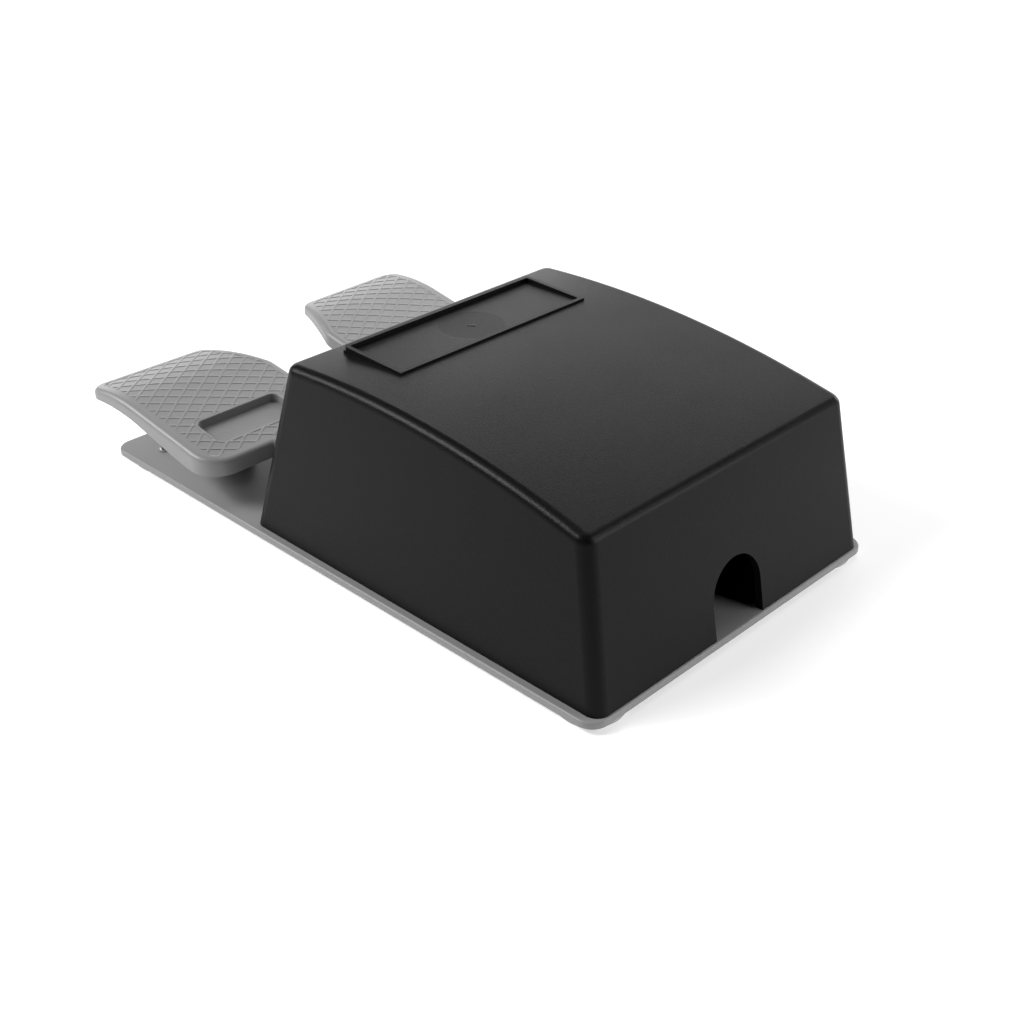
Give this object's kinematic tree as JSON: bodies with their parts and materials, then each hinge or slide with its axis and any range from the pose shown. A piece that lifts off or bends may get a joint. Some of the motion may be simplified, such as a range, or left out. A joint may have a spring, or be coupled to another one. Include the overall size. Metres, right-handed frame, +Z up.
{
  "type": "foot pedal switch",
  "caption": "Foot switch with two hinged, sprung pedals on a flat plate, under a deep cover with a cable arch at the back; each pedal lifts the lever of its own snap switch.",
  "frame": {"origin": "on the surface that the feet rest on, under the middle of the bounding box", "axes": "+X to the right of a user who faces the pedals, +Y from the pedals to the cable arch, +Z up"},
  "size_m": [0.1292, 0.2128, 0.0616],
  "materials": {
    "plate_paint": "satin grey enamel on sheet steel",
    "cover_plastic": "fine sand-textured black moulding",
    "pedal_plastic": "grey moulding with a treaded top",
    "foot_rubber": "pale grey rubber",
    "stop_rubber": "black rubber",
    "zinc_steel": "zinc plated steel",
    "spring_steel": "drawn spring wire",
    "shaft_steel": "ground bar",
    "bush_nylon": "natural nylon",
    "switch_plastic": "dark phenolic moulding",
    "lid_plastic": "brown phenolic moulding",
    "plunger_plastic": "red thermoset",
    "brass": "bright brass"
  },
  "bodies": {
    "base": {"base_plate": "plate_paint", "feet": "foot_rubber", "foot_rivets": "zinc_steel", "cover": "cover_plastic", "cover_screws": "zinc_steel", "pivot_shaft": "shaft_steel", "shaft_clips": "spring_steel", "bracket_screws": "zinc_steel", "spring_seats": "bush_nylon", "stop_pads": "stop_rubber", "bump_stops": "stop_rubber", "switch_bracket": "zinc_steel", "switch_bracket_screws": "zinc_steel", "lever_pins": "zinc_steel", "terminal_screws": "brass", "switch_screws": "zinc_steel", "switch_nuts": "zinc_steel", "left_pivot_bracket": "zinc_steel", "left_return_spring": "spring_steel", "left_switch_case": "switch_plastic", "left_switch_lid": "lid_plastic", "left_switch_terminals": "brass", "right_pivot_bracket": "zinc_steel", "right_return_spring": "spring_steel", "right_switch_case": "switch_plastic", "right_switch_lid": "lid_plastic", "right_switch_terminals": "brass"},
    "left_pedal": {"left_pedal": "pedal_plastic", "left_pedal_bushes": "bush_nylon", "left_stop_screw": "zinc_steel", "left_stop_nut": "zinc_steel"},
    "left_switch_lever": {"left_switch_lever": "zinc_steel"},
    "left_switch_plunger": {"left_switch_plunger": "plunger_plastic"},
    "right_pedal": {"right_pedal": "pedal_plastic", "right_pedal_bushes": "bush_nylon", "right_stop_screw": "zinc_steel", "right_stop_nut": "zinc_steel"},
    "right_switch_lever": {"right_switch_lever": "zinc_steel"},
    "right_switch_plunger": {"right_switch_plunger": "plunger_plastic"}
  },
  "joints": [
    {"name": "left_pedal_hinge", "type": "hinge", "parent": "base", "child": "left_pedal", "pos_m": [0, -0.01358, 0.012], "axis": [1, 0, 0], "range_deg": [0, 7], "stiffness_Nm_per_rad": 6, "springref_deg": -5.73, "deforming": ["left_return_spring"]},
    {"name": "left_lever_hinge", "type": "hinge", "parent": "base", "child": "left_switch_lever", "pos_m": [0, 0.05983, 0.0216], "axis": [1, 0, 0], "range_deg": [-3.9, 0]},
    {"name": "left_plunger_slide", "type": "slide", "parent": "base", "child": "left_switch_plunger", "axis": [0, 0, 1], "range_m": [0, 0.00154]},
    {"name": "right_pedal_hinge", "type": "hinge", "parent": "base", "child": "right_pedal", "pos_m": [0, -0.01358, 0.012], "axis": [1, 0, 0], "range_deg": [0, 4.85], "stiffness_Nm_per_rad": 6, "springref_deg": -5.73, "deforming": ["right_return_spring"]},
    {"name": "right_lever_hinge", "type": "hinge", "parent": "base", "child": "right_switch_lever", "pos_m": [0, 0.05983, 0.0216], "axis": [1, 0, 0], "range_deg": [-2.73, 0]},
    {"name": "right_plunger_slide", "type": "slide", "parent": "base", "child": "right_switch_plunger", "axis": [0, 0, 1], "range_m": [0, 0.00108]}
  ],
  "couplings": [
    {"joint": "left_lever_hinge", "follows": "left_pedal_hinge", "ratio": -0.54351},
    {"joint": "left_plunger_slide", "follows": "left_pedal_hinge", "m_per_rad": 0.012212},
    {"joint": "right_lever_hinge", "follows": "right_pedal_hinge", "ratio": -0.54254},
    {"joint": "right_plunger_slide", "follows": "right_pedal_hinge", "m_per_rad": 0.012176}
  ]
}
